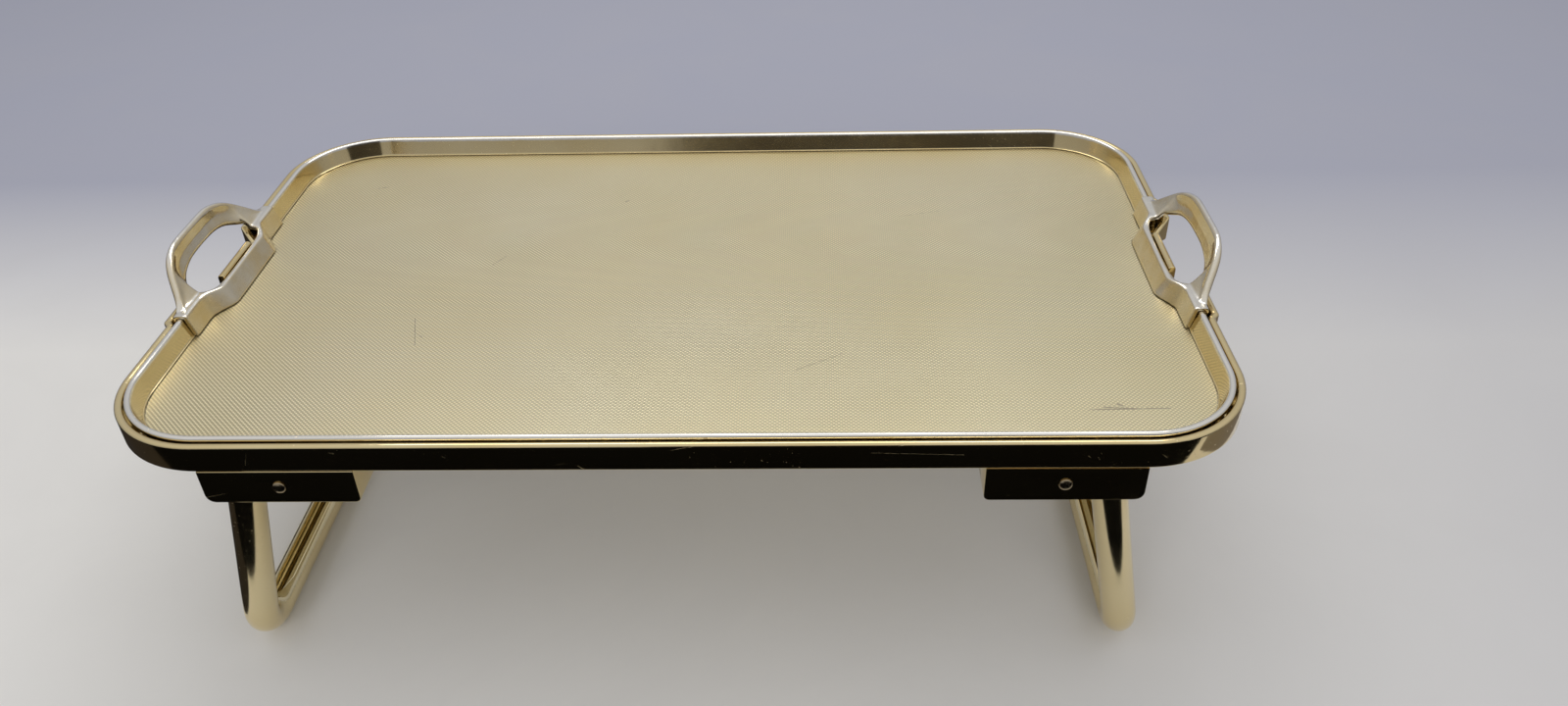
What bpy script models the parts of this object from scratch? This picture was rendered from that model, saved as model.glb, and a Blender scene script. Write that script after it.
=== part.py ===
"""Bed tray table: a framed gold-anodised tray with cast handles that lifts out of a
folding stand.  All shapes are worked out in millimetres and placed in metres, +Z up,
with the table surface at z = 0 and the middle of the tray over the origin."""

import math

import bmesh
import bpy
from mathutils import Vector

MM = 0.001

# Frame: a pressed band with a convex lip and an inward flange that carries the tray.
FRAME_LENGTH = 564.0
FRAME_WIDTH = 340.0
FRAME_CORNER = 57.0
LIP_TOP = 149.0
BAND_HEIGHT = 15.0
FRAME_SHEET = 1.3
LIP_WIDTH = 3.8
LIP_DEPTH = 2.4
FLANGE_WIDTH = 12.0

# Frame at each handle: the band jogs out round the handle foot, then steps in.  Behind
# the finger opening its lip stands up as a bar, with a low stretch on either side.
JOG_OUT = 3.0
JOG_START = 67.0
JOG_END = 63.5
STEP_OUTER_Y = 42.0
STEP_INNER_Y = 30.0
BAR_FACE_X = 272.6
BAR_HALF = 19.7
BAR_RISE = 2.5
BAR_CUT = 0.25
LOW_HALF = 33.5
LOW_DROP = 7.0

# Tray rim moulding, measured inward from the outside of the frame band.
RIM_OUTER = 4.6
RIM_INNER = 8.0
RIM_FOOT = 10.3
RIM_TOP = 1.4
RIM_WALL = 1.2
STRIP_REACH = 1.2
SEAT_REACH = 4.0
FLOOR_TOP = -9.9
FLOOR_SHEET = 1.0
FLOOR_LIP = 0.3
GAP = 0.3

# Handle casting.
HANDLE_HALF = 63.0
CHEEK_X = 269.4
DISH_X = 261.0
DISH_HALF = 27.0
DISH_BLEND = 18.0
OPENING_X = 277.4
OPENING_HALF_X = 9.1
OPENING_HALF_Y = 37.5
GRIP_HALF = 60.0
GRIP_REACH = 14.0
GRIP_RISE = 22.0
GRIP_THICK = 3.4
HANDLE_WALL = 2.0

# Folding legs and the box brackets they fold from.  The tube has an open seam along the
# inside of its U, which closes at the bends.
LEG_TUBE = 17.5
LEG_WALL = 1.2
LEG_SEAM = 8.4
LEG_SEAM_CLOSED = 0.8
LEG_SEAM_RUN = 14.0
LEG_SPLAY = math.radians(11.0)
LEG_HALF_SPAN = 158.0
LEG_BEND = 20.0
PIVOT_X = 188.0
PIVOT_Z = -25.0
PIVOT_OFFSET = 22.0
BRACKET_INNER_X = 150.0
BRACKET_OUTER_X = 226.0
BRACKET_TOP = -15.3
BRACKET_BOTTOM = -34.8
BRACKET_DEPTH = 24.0
BRACKET_SHEET = 1.2
PLATE_THICK = 2.0
PIN_RADIUS = 2.0
HOLE_RADIUS = 2.3
EYE_RADIUS = 2.1
SPACER_RADIUS = 3.5
PIVOT_HEAD = 3.3
RIVET_XS = (160.0, 192.0)
RIVET_INSET = 5.2
RIVET_HEAD = 2.9
CROWN_RADIUS = 1.6
TUBE_RIVETS = (-1.0, 8.5)
TUBE_PIN = 1.3
TUBE_HOLE = 1.6
TUBE_HEAD = 2.3

# Hinge plate: (inboard, down, radius) corners inside the tube, then (inboard, up, radius)
# corners round the pivot eye.
PLATE_TUBE_CORNERS = ((-5.5, -5.0, 1.0), (-5.5, 12.0, 2.0), (10.5, 12.0, 3.0))
PLATE_EYE_CORNERS = ((6.0, -5.0, 4.0), (6.0, 5.5, 4.0), (-8.0, 4.5, 2.0))

CHAMPAGNE = (0.72, 0.63, 0.42, 1.0)
GOLD = (0.66, 0.53, 0.27, 1.0)
SATIN = (0.76, 0.70, 0.52, 1.0)
CAST = (0.75, 0.71, 0.60, 1.0)
STEEL = (0.62, 0.60, 0.56, 1.0)


def clear_scene():
    for old in list(bpy.data.objects):
        bpy.data.objects.remove(old, do_unlink=True)
    for old in list(bpy.data.meshes):
        bpy.data.meshes.remove(old)


def make_material(name, colour, roughness):
    material = bpy.data.materials.new(name)
    material.use_nodes = True
    shader = material.node_tree.nodes["Principled BSDF"]
    shader.inputs["Base Color"].default_value = colour
    shader.inputs["Metallic"].default_value = 1.0
    shader.inputs["Roughness"].default_value = roughness
    return material


def place(name, bm, colour, roughness=0.25, origin=(0.0, 0.0, 0.0), crease=35.0):
    """Turn a millimetre bmesh into an object whose origin sits at a given point."""
    start = Vector(origin)
    for vert in bm.verts:
        vert.co = (vert.co - start) * MM
    bmesh.ops.remove_doubles(bm, verts=bm.verts, dist=1e-6)
    bmesh.ops.recalc_face_normals(bm, faces=bm.faces)
    mesh = bpy.data.meshes.new(name)
    bm.to_mesh(mesh)
    bm.free()
    mesh.polygons.foreach_set("use_smooth", [True] * len(mesh.polygons))
    mesh.set_sharp_from_angle(angle=math.radians(crease))
    body = bpy.data.objects.new(name, mesh)
    body.location = (start + Vector((0.0, 0.0, LIP_TOP))) * MM
    bpy.context.scene.collection.objects.link(body)
    mesh.materials.append(make_material(name + "_metal", colour, roughness))
    return body


def loft(rings, ring_loop=False):
    """Skin equal rings of points; the row of rings is closed or capped at both ends."""
    bm = bmesh.new()
    rows = [[bm.verts.new(point) for point in ring] for ring in rings]
    count = len(rows[0])
    pairs = list(zip(rows, rows[1:]))
    if ring_loop:
        pairs.append((rows[-1], rows[0]))
    for first, second in pairs:
        for k in range(count):
            n = (k + 1) % count
            bm.faces.new((first[k], first[n], second[n], second[k]))
    if not ring_loop:
        bm.faces.new(list(reversed(rows[0])))
        bm.faces.new(rows[-1])
    return bm


def filleted(corners, closed=True, turn=13.0):
    """Round every (x, y, radius) corner of an outline with an arc of that radius."""
    out = []
    total = len(corners)
    for i, (x, y, radius) in enumerate(corners):
        here = Vector((x, y))
        if radius <= 0.0 or (not closed and i in (0, total - 1)):
            out.append(here)
            continue
        back = (Vector(corners[i - 1][:2]) - here).normalized()
        ahead = (Vector(corners[(i + 1) % total][:2]) - here).normalized()
        half = back.angle(ahead) / 2.0
        centre = here + (back + ahead).normalized() * (radius / math.sin(half))
        first = here + back * (radius / math.tan(half)) - centre
        last = here + ahead * (radius / math.tan(half)) - centre
        start = math.atan2(first.y, first.x)
        sweep = math.atan2(last.y, last.x) - start
        sweep = (sweep + math.pi) % (2.0 * math.pi) - math.pi
        steps = max(2, math.ceil(abs(math.degrees(sweep)) / turn))
        for k in range(steps + 1):
            angle = start + sweep * k / steps
            out.append(centre + radius * Vector((math.cos(angle), math.sin(angle))))
    return out


def inward(path, closed=True):
    """Mitred inward normals of an anticlockwise plan path."""
    normals = []
    total = len(path)
    for i, here in enumerate(path):
        ahead = path[(i + 1) % total] - here
        back = here - path[i - 1]
        if not closed and i == 0:
            back = ahead
        if not closed and i == total - 1:
            ahead = back
        left_a = Vector((-ahead.y, ahead.x)).normalized()
        left_b = Vector((-back.y, back.x)).normalized()
        middle = (left_a + left_b).normalized()
        normals.append(middle / max(0.3, middle.dot(left_a)))
    return normals


def smooth_step(value):
    value = min(1.0, max(0.0, value))
    return value * value * (3.0 - 2.0 * value)


def prism(outline, start, end):
    """Prism of a closed (x, z) outline between two places along y."""
    return loft([[Vector((p.x, y, p.y)) for p in outline] for y in (start, end)])


def turned(profile, centre, axis, segments=12):
    """Solid turned from (radius, distance) pairs about the y or z axis through a point."""
    rings = []
    for radius, along in profile:
        ring = []
        for k in range(segments):
            angle = 2.0 * math.pi * k / segments
            a = radius * math.cos(angle)
            b = radius * math.sin(angle)
            offset = (a, along, b) if axis == "y" else (a, b, along)
            ring.append(Vector(centre) + Vector(offset))
        rings.append(ring)
    return loft(rings)


def tube_ring(inner, outer, low, high, centre, segments=12):
    """Plain round spacer with a bore along y."""
    rings = []
    for radius, along in ((outer, low), (outer, high), (inner, high), (inner, low)):
        ring = []
        for k in range(segments):
            angle = 2.0 * math.pi * k / segments
            a = radius * math.cos(angle)
            b = radius * math.sin(angle)
            ring.append(Vector(centre) + Vector((a, along, b)))
        rings.append(ring)
    return loft(rings, ring_loop=True)


def boolean(body, cutter, operation):
    """Apply an exact boolean of a throwaway solid to a body."""
    cutter.hide_render = True
    cutter.display_type = "WIRE"
    tool = body.modifiers.new("join", "BOOLEAN")
    tool.operation = operation
    tool.solver = "EXACT"
    tool.object = cutter
    bpy.context.view_layer.update()
    graph = bpy.context.evaluated_depsgraph_get()
    result = bpy.data.meshes.new_from_object(body.evaluated_get(graph))
    body.modifiers.clear()
    old = body.data
    body.data = result
    bpy.data.meshes.remove(old)
    bpy.data.objects.remove(cutter, do_unlink=True)
    body.data.set_sharp_from_angle(angle=math.radians(35.0))


# ---------------------------------------------------------------- frame and tray

def frame_outline():
    """Outside of the band as an anticlockwise plan path."""
    half_x = FRAME_LENGTH / 2.0
    half_y = FRAME_WIDTH / 2.0
    jog_x = half_x + JOG_OUT
    slope = (jog_x - BAR_FACE_X) / (STEP_OUTER_Y - STEP_INNER_Y)
    lower = [
        (half_x, -half_y, FRAME_CORNER),
        (half_x, -JOG_START, 0.0),
        (jog_x, -JOG_END, 0.0),
        (jog_x, -STEP_OUTER_Y, 0.0),
        (BAR_FACE_X + slope * (LOW_HALF - STEP_INNER_Y), -LOW_HALF, 0.0),
        (BAR_FACE_X, -STEP_INNER_Y, 0.0),
        (BAR_FACE_X, -BAR_HALF - BAR_CUT, 0.0),
        (BAR_FACE_X, -BAR_HALF, 0.0),
    ]
    right = lower + [(x, -y, r) for x, y, r in reversed(lower)]
    return filleted(right + [(-x, -y, r) for x, y, r in right])


def lip_rise(point):
    """Height of the lip at a place on the outline, against its usual level."""
    if abs(point.y) > STEP_OUTER_Y - 0.1 or abs(point.x) < DISH_X:
        return 0.0
    return BAR_RISE if abs(point.y) < BAR_HALF + 0.1 else -LOW_DROP


def band_section(rise):
    """Band section as (inward, z) pairs; the lip alone goes up by the given rise."""
    return [
        (0.0, -BAND_HEIGHT),
        (0.0, rise - 1.1),
        (0.6, rise - 0.35),
        (LIP_WIDTH / 2.0, rise),
        (LIP_WIDTH - 0.6, rise - 0.35),
        (LIP_WIDTH, rise - 1.1),
        (LIP_WIDTH, rise - LIP_DEPTH),
        (FRAME_SHEET, rise - LIP_DEPTH),
        (FRAME_SHEET, -BAND_HEIGHT + FRAME_SHEET),
        (FLANGE_WIDTH, -BAND_HEIGHT + FRAME_SHEET),
        (FLANGE_WIDTH, -BAND_HEIGHT),
    ]


def build_frame():
    path = frame_outline()
    rings = []
    for point, normal in zip(path, inward(path)):
        ring = []
        for inset, z in band_section(lip_rise(point)):
            flat = point + normal * inset
            ring.append(Vector((flat.x, flat.y, z)))
        rings.append(ring)
    band = place("frame_band", loft(rings, ring_loop=True), CHAMPAGNE, 0.12)
    for x in RIVET_XS:
        for sx in (-1.0, 1.0):
            for sy in (-1.0, 1.0):
                centre = (sx * x, sy * (FRAME_WIDTH / 2.0 - RIVET_INSET), 0.0)
                drill = turned(((HOLE_RADIUS, -18.0), (HOLE_RADIUS, -12.0)), centre, "z", 8)
                boolean(band, place("drill", drill, STEEL), "DIFFERENCE")
    return band


def rim_section():
    """Rim moulding as (inward, z): round top, sloping wall, floor groove and seat."""
    seat = FLOOR_TOP - FLOOR_SHEET - GAP
    over = FLOOR_TOP + GAP
    back = RIM_FOOT - GAP
    base = -BAND_HEIGHT + FRAME_SHEET + GAP
    return [
        (RIM_OUTER, RIM_TOP - 3.4),
        (RIM_OUTER, RIM_TOP - 1.0),
        (RIM_OUTER + 0.6, RIM_TOP - 0.25),
        ((RIM_OUTER + RIM_INNER) / 2.0, RIM_TOP),
        (RIM_INNER - 0.6, RIM_TOP - 0.25),
        (RIM_INNER, RIM_TOP - 1.0),
        (RIM_FOOT, over + 0.6),
        (RIM_FOOT + STRIP_REACH, over + 0.3),
        (RIM_FOOT + STRIP_REACH, over),
        (back, over),
        (back, seat),
        (back + SEAT_REACH, seat),
        (back + SEAT_REACH, seat - RIM_WALL),
        (back, seat - RIM_WALL),
        (back, base),
        (back - RIM_WALL, base),
        (back - RIM_WALL, over),
        (RIM_INNER - RIM_WALL, RIM_TOP - 1.8),
        (RIM_OUTER + RIM_WALL, RIM_TOP - 1.8),
        (RIM_OUTER + RIM_WALL, RIM_TOP - 3.4),
    ]


def build_rim(side):
    """One half of the rim, from one handle round a long side to the other handle."""
    half_x = FRAME_LENGTH / 2.0
    half_y = FRAME_WIDTH / 2.0
    end = HANDLE_HALF + GAP
    corners = [
        (-half_x, -end, 0.0),
        (-half_x, -half_y, FRAME_CORNER),
        (0.0, -half_y, 0.0),
        (half_x, -half_y, FRAME_CORNER),
        (half_x, -end, 0.0),
    ]
    path = filleted(corners, closed=False)
    rings = []
    for point, normal in zip(path, inward(path, closed=False)):
        ring = []
        for inset, z in rim_section():
            flat = (point + normal * inset) * (1.0 if side < 0 else -1.0)
            ring.append(Vector((flat.x, flat.y, z)))
        rings.append(ring)
    name = "rim_front" if side < 0 else "rim_back"
    return place(name, loft(rings), GOLD, 0.15)


def foot_x(y):
    """Plan line of the handle wall where it meets the floor."""
    blend = smooth_step((abs(y) - DISH_HALF) / DISH_BLEND)
    return DISH_X + (CHEEK_X - DISH_X) * blend


def floor_outline(rim_inset, handle_inset, end):
    """Plan of the floor, its ends notched to follow the dished handle walls."""
    half_x = FRAME_LENGTH / 2.0 - rim_inset
    half_y = FRAME_WIDTH / 2.0 - rim_inset
    radius = FRAME_CORNER - rim_inset
    lower = filleted(
        [(-half_x, -end, 0.0), (-half_x, -half_y, radius),
         (half_x, -half_y, radius), (half_x, -end, 0.0)],
        closed=False)
    notch = []
    for k in range(33):
        y = -end + 2.0 * end * k / 32.0
        notch.append(Vector((foot_x(y) - handle_inset, y)))
    return lower + notch + [-p for p in lower] + [-p for p in notch]


def build_floor():
    """Floor sheet; its edge is stepped down a little where the foot strips cover it."""
    edge = floor_outline(RIM_FOOT, -0.2, HANDLE_HALF)
    clear = STRIP_REACH + 0.4
    face = floor_outline(RIM_FOOT + clear, clear, HANDLE_HALF + 0.4)
    levels = ((edge, FLOOR_TOP - FLOOR_SHEET), (edge, FLOOR_TOP - FLOOR_LIP),
              (face, FLOOR_TOP - FLOOR_LIP), (face, FLOOR_TOP))
    rings = [[Vector((p.x, p.y, level)) for p in outline] for outline, level in levels]
    return place("tray_floor", loft(rings), SATIN, 0.3)


def opening_reach(y):
    """Half width of the finger opening across the tray at a given y."""
    share = min(1.0, abs(y) / OPENING_HALF_Y)
    return OPENING_HALF_X * (1.0 - share ** 4.5) ** (1.0 / 4.5)


def wall_section(y):
    """Handle wall, top band and outer lip in one upright section."""
    saddle = smooth_step((abs(y) - DISH_HALF) / 13.0)
    foot = foot_x(y)
    top = 1.5 + 1.6 * saddle
    inner = foot + 4.0 - 1.8 * smooth_step((abs(y) - DISH_HALF) / DISH_BLEND)
    if abs(y) < OPENING_HALF_Y:
        outer = OPENING_X - opening_reach(y)
    else:
        outer = OPENING_X + 1.9 * smooth_step((abs(y) - OPENING_HALF_Y) / 4.0)
    lip = top - 2.6 - 2.0 * smooth_step((abs(y) - 44.0) / 5.0)
    under = top - 2.5 + 0.7 * smooth_step((abs(y) - 40.0) / 5.0)
    wall = foot + HANDLE_WALL
    web = min(inner + 2.2, outer - 2.2)
    lip_in = max(outer - 1.8, web + 0.2)
    seat = FLOOR_TOP - FLOOR_SHEET - GAP
    over = FLOOR_TOP + GAP
    flat = [
        (foot - STRIP_REACH, over), (foot - STRIP_REACH, over + 0.3), (foot, over + 0.6),
        (inner, top - 1.0), (inner + 0.5, top - 0.3), (inner + 1.2, top),
        (outer - 1.2, top), (outer - 0.3, top - 0.4), (outer, top - 1.2),
        (outer, lip), (lip_in, lip), (lip_in, under), (web, under),
        (wall, over), (wall, seat - RIM_WALL), (foot - 2.8, seat - RIM_WALL),
        (foot - 2.8, seat), (foot + 0.5, seat), (foot + 0.5, over),
    ]
    return [Vector((x, y, z)) for x, z in flat]


def grip_section(y):
    """Leaning strap of the grip: inner lower edge, inner face, top edge, outer face."""
    swell = 0.5 * (1.0 + math.cos(math.pi * (min(1.0, abs(y) / GRIP_HALF)) ** 2.0))
    top_x = 279.3 + GRIP_REACH * swell
    top_z = 3.0 + GRIP_RISE * swell
    if abs(y) < OPENING_HALF_Y:
        share = 0.5 * (1.0 + math.cos(math.pi * (abs(y) / 42.0) ** 1.5))
        low_x = OPENING_X + opening_reach(y) - 0.6 * share
        low_z = 3.5 + 8.3 * share
    else:
        low_x = 274.5
        low_z = 2.0
    low = Vector((low_x, low_z))
    high = Vector((top_x, top_z))
    corners = [low, high + Vector((-GRIP_THICK, -0.3)), high, low + Vector((3.1, -1.3))]
    rounded = []
    for i, corner in enumerate(corners):
        back = corners[i - 1] - corner
        ahead = corners[(i + 1) % 4] - corner
        rounded.append(corner + back * min(0.3, 0.9 / back.length))
        rounded.append(corner + ahead * min(0.3, 0.9 / ahead.length))
    along = (high - low).normalized()
    out = Vector((along.y, -along.x))
    inner_mid = (rounded[1] + rounded[2]) / 2.0 - out * 0.3
    outer_mid = (rounded[5] + rounded[6]) / 2.0 + out * 0.5
    flat = rounded[:2] + [inner_mid] + rounded[2:6] + [outer_mid] + rounded[6:]
    return [Vector((p.x, y, p.y)) for p in flat]


def build_handle(side):
    """Cast handle: wall and saddle ends joined with the raised strap of the grip."""
    wall_rows = [-63, -60, -56, -52, -48.5, -45, -42, -39.5, -37.55, -37.3, -36, -34,
                 -31, -27, -20, -10]
    grip_rows = [-58, -55, -51, -47, -43, -39.5, -37.7, -37.3, -36.5, -34.5, -31.5, -27,
                 -21.5, -15, -8]
    wall_rows = wall_rows + [0] + [-y for y in reversed(wall_rows)]
    grip_rows = grip_rows + [0] + [-y for y in reversed(grip_rows)]
    name = "handle_right" if side > 0 else "handle_left"
    turn = Vector((side, side, 1.0))
    wall = loft([[v * turn for v in wall_section(float(y))] for y in wall_rows])
    grip = loft([[v * turn for v in grip_section(float(y))] for y in grip_rows])
    body = place(name, wall, CAST, 0.15, crease=50.0)
    boolean(body, place("strap", grip, CAST), "UNION")
    return body


# ---------------------------------------------------------------- stand

def build_bracket(name, sx, sy):
    """Box bracket under the band: plates front and back, top web, inboard end wall."""
    corners = [
        (BRACKET_INNER_X, BRACKET_TOP, 0.0),
        (BRACKET_INNER_X, BRACKET_BOTTOM, 2.8),
        (BRACKET_OUTER_X, BRACKET_BOTTOM, 4.5),
        (BRACKET_OUTER_X, BRACKET_TOP, 0.0),
    ]
    outline = [Vector((sx * p.x, p.y)) for p in filleted(corners, turn=23.0)]
    front = sy * FRAME_WIDTH / 2.0
    back = front - sy * BRACKET_DEPTH
    body = place(name, prism(outline, front, back), CHAMPAGNE, 0.12)
    hollow = [
        Vector((sx * (BRACKET_INNER_X + BRACKET_SHEET), BRACKET_TOP - BRACKET_SHEET)),
        Vector((sx * (BRACKET_OUTER_X + 10.0), BRACKET_TOP - BRACKET_SHEET)),
        Vector((sx * (BRACKET_OUTER_X + 10.0), BRACKET_BOTTOM - 10.0)),
        Vector((sx * (BRACKET_INNER_X + BRACKET_SHEET), BRACKET_BOTTOM - 10.0)),
    ]
    core = prism(hollow, front - sy * BRACKET_SHEET, back + sy * BRACKET_SHEET)
    boolean(body, place("core", core, STEEL), "DIFFERENCE")
    pivot = turned(((EYE_RADIUS, -20.0), (EYE_RADIUS, 20.0)),
                   (sx * PIVOT_X, (front + back) / 2.0, PIVOT_Z), "y")
    boolean(body, place("pivot_drill", pivot, STEEL), "DIFFERENCE")
    for x in RIVET_XS:
        drill = turned(((HOLE_RADIUS, -18.0), (HOLE_RADIUS, -14.0)),
                       (sx * x, front - sy * RIVET_INSET, 0.0), "z", 8)
        boolean(body, place("rivet_drill", drill, STEEL), "DIFFERENCE")
    return body


def build_flange_rivet(name, x, y):
    """Rivet through the band flange and the bracket web, a low head on each side."""
    top = -BAND_HEIGHT + FRAME_SHEET + GAP
    low = BRACKET_TOP - BRACKET_SHEET - GAP
    profile = ((CROWN_RADIUS, low - 1.0), (RIVET_HEAD, low), (PIN_RADIUS, low),
               (PIN_RADIUS, top), (RIVET_HEAD, top), (CROWN_RADIUS, top + 1.0))
    return place(name, turned(profile, (x, y, 0.0), "z", 8), STEEL, 0.3)


def build_pivot_rivet(name, sx, sy):
    """Leg pivot: a shank across the bracket with a domed head outside each plate."""
    front = FRAME_WIDTH / 2.0 + GAP
    back = FRAME_WIDTH / 2.0 - BRACKET_DEPTH - GAP
    profile = ((CROWN_RADIUS, back - 1.5), (PIVOT_HEAD, back), (PIN_RADIUS, back),
               (PIN_RADIUS, front), (PIVOT_HEAD, front), (PIVOT_HEAD - 0.5, front + 0.9),
               (CROWN_RADIUS - 0.3, front + 1.6))
    profile = [(radius, sy * along) for radius, along in profile]
    return place(name, turned(profile, (sx * PIVOT_X, 0.0, PIVOT_Z), "y"), STEEL, 0.3)


def leg_frame(sx):
    """Top point of a leg's centre plane and its down and inboard unit vectors."""
    down = Vector((sx * math.sin(LEG_SPLAY), 0.0, -math.cos(LEG_SPLAY)))
    inboard = Vector((-sx * math.cos(LEG_SPLAY), 0.0, -math.sin(LEG_SPLAY)))
    level = Vector((sx * (PIVOT_X + PIVOT_OFFSET), 0.0, PIVOT_Z))
    return level, down, inboard


def build_leg(name, sx):
    """U-shaped leg: seamed tube down one side, along the table and up the other."""
    level, down, inboard = leg_frame(sx)
    outer = LEG_TUBE / 2.0
    inner = outer - LEG_WALL
    rise = BRACKET_TOP - BRACKET_SHEET - GAP - 0.1
    top = (PIVOT_Z - rise + outer * math.sin(LEG_SPLAY)) / math.cos(LEG_SPLAY)
    length = (LIP_TOP + PIVOT_Z - outer) / math.cos(LEG_SPLAY)
    run = LEG_BEND + LEG_SEAM_RUN
    half = [(LEG_HALF_SPAN, top, 0.0), (LEG_HALF_SPAN, length - run, 0.0),
            (LEG_HALF_SPAN, length, LEG_BEND), (LEG_HALF_SPAN - run, length, 0.0)]
    corners = half + [(-y, along, radius) for y, along, radius in reversed(half)]
    path = filleted(corners, closed=False, turn=18.0)
    rings = []
    for point, normal in zip(path, inward(path, closed=False)):
        inside = Vector((0.0, normal.x, 0.0)) + down * normal.y
        centre = level + Vector((0.0, point.x, 0.0)) + down * point.y
        bent = (abs(point.x) > LEG_HALF_SPAN - LEG_BEND - 0.1
                and point.y > length - LEG_BEND - 0.1)
        seam = math.asin((LEG_SEAM_CLOSED if bent else LEG_SEAM) / 2.0 / outer)
        ring = []
        for radius, direction in ((outer, 1.0), (inner, -1.0)):
            start = seam * outer / radius
            for k in range(13):
                angle = direction * (start + (2.0 * math.pi - 2.0 * start) * k / 12.0)
                ring.append(centre + inside * (radius * math.cos(angle))
                            + inboard * (radius * math.sin(angle)))
        rings.append(ring)
    pivot = (sx * PIVOT_X, 0.0, PIVOT_Z)
    body = place(name, loft(rings), CHAMPAGNE, 0.18, origin=pivot)
    notch = []
    for reach, along in ((2.0, -12.0), (12.0, -12.0), (12.0, 12.6), (2.0, 12.6)):
        spot = level + down * along + inboard * reach
        notch.append(Vector((spot.x, spot.z)))
    half_cut = PLATE_THICK / 2.0 + GAP
    for sy in (-1.0, 1.0):
        middle = sy * LEG_HALF_SPAN
        cut = prism(notch, middle - half_cut, middle + half_cut)
        boolean(body, place("plate_cut", cut, STEEL), "DIFFERENCE")
        for along in TUBE_RIVETS:
            centre = level + down * along
            centre.y = middle
            drill = turned(((TUBE_HOLE, -12.0), (TUBE_HOLE, 12.0)), centre, "y", 8)
            boolean(body, place("tube_drill", drill, STEEL), "DIFFERENCE")
    return body


def build_hinge_plate(name, sx, sy):
    """Flat plate let into a cut in the tube, with an eye that turns on the pivot rivet."""
    level, down, inboard = leg_frame(sx)
    eye = Vector((sx * PIVOT_X, PIVOT_Z))
    corners = []
    for reach, along, radius in PLATE_TUBE_CORNERS:
        spot = level + down * along + inboard * reach
        corners.append((spot.x, spot.z, radius))
    for reach, rise, radius in PLATE_EYE_CORNERS:
        corners.append((eye.x - sx * reach, eye.y + rise, radius))
    outline = filleted(corners, turn=25.0)
    middle = sy * LEG_HALF_SPAN
    half = PLATE_THICK / 2.0
    plate = prism(outline, middle - half, middle + half)
    pivot = (sx * PIVOT_X, 0.0, PIVOT_Z)
    body = place(name, plate, STEEL, 0.35, origin=pivot)
    holes = [(Vector((eye.x, 0.0, eye.y)), EYE_RADIUS)]
    holes += [(level + down * along, TUBE_HOLE) for along in TUBE_RIVETS]
    for spot, radius in holes:
        spot.y = middle
        drill = turned(((radius, -6.0), (radius, 6.0)), spot, "y", 12)
        boolean(body, place("plate_drill", drill, STEEL), "DIFFERENCE")
    return body


def build_tube_rivet(name, sx, sy, along):
    """Rivet that holds the hinge plate in the tube, its outer head on the tube wall."""
    level, down, _ = leg_frame(sx)
    centre = level + down * along
    centre.y = sy * LEG_HALF_SPAN
    inner = -PLATE_THICK / 2.0 - GAP
    outer = LEG_TUBE / 2.0 + 0.15
    profile = ((TUBE_PIN, inner - 0.7), (TUBE_HEAD, inner), (TUBE_PIN, inner),
               (TUBE_PIN, outer), (TUBE_HEAD, outer), (TUBE_PIN, outer + 0.7))
    profile = [(radius, sy * distance) for radius, distance in profile]
    pivot = (sx * PIVOT_X, 0.0, PIVOT_Z)
    return place(name, turned(profile, centre, "y", 8), STEEL, 0.3, origin=pivot)


def build_stand():
    for sx, end in ((-1.0, "left"), (1.0, "right")):
        build_leg("leg_" + end, sx)
        for sy, face in ((-1.0, "front"), (1.0, "back")):
            tag = end + "_" + face
            build_bracket("bracket_" + tag, sx, sy)
            build_pivot_rivet("pivot_rivet_" + tag, sx, sy)
            build_hinge_plate("hinge_plate_" + tag, sx, sy)
            for k, x in enumerate(RIVET_XS):
                y = sy * (FRAME_WIDTH / 2.0 - RIVET_INSET)
                build_flange_rivet("flange_rivet_%s_%d" % (tag, k + 1), sx * x, y)
            for k, along in enumerate(TUBE_RIVETS):
                build_tube_rivet("tube_rivet_%s_%d" % (tag, k + 1), sx, sy, along)
            outside = FRAME_WIDTH / 2.0 - BRACKET_SHEET - GAP
            plate_out = LEG_HALF_SPAN + PLATE_THICK / 2.0 + GAP
            plate_in = LEG_HALF_SPAN - PLATE_THICK / 2.0 - GAP
            inside = FRAME_WIDTH / 2.0 - BRACKET_DEPTH + BRACKET_SHEET + GAP
            centre = (sx * PIVOT_X, 0.0, PIVOT_Z)
            for part, low, high in (("outer", plate_out, outside),
                                    ("inner", inside, plate_in)):
                ring = tube_ring(HOLE_RADIUS, SPACER_RADIUS, sy * low, sy * high, centre)
                place("spacer_%s_%s" % (tag, part), ring, STEEL, 0.35)


def main():
    clear_scene()
    build_frame()
    build_rim(-1)
    build_rim(1)
    build_floor()
    build_handle(1.0)
    build_handle(-1.0)
    build_stand()


main()
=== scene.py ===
"""Looks of the bed tray table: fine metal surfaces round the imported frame, and a plain studio."""

import math

import bmesh
import bpy
from mathutils import Matrix, Vector


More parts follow.
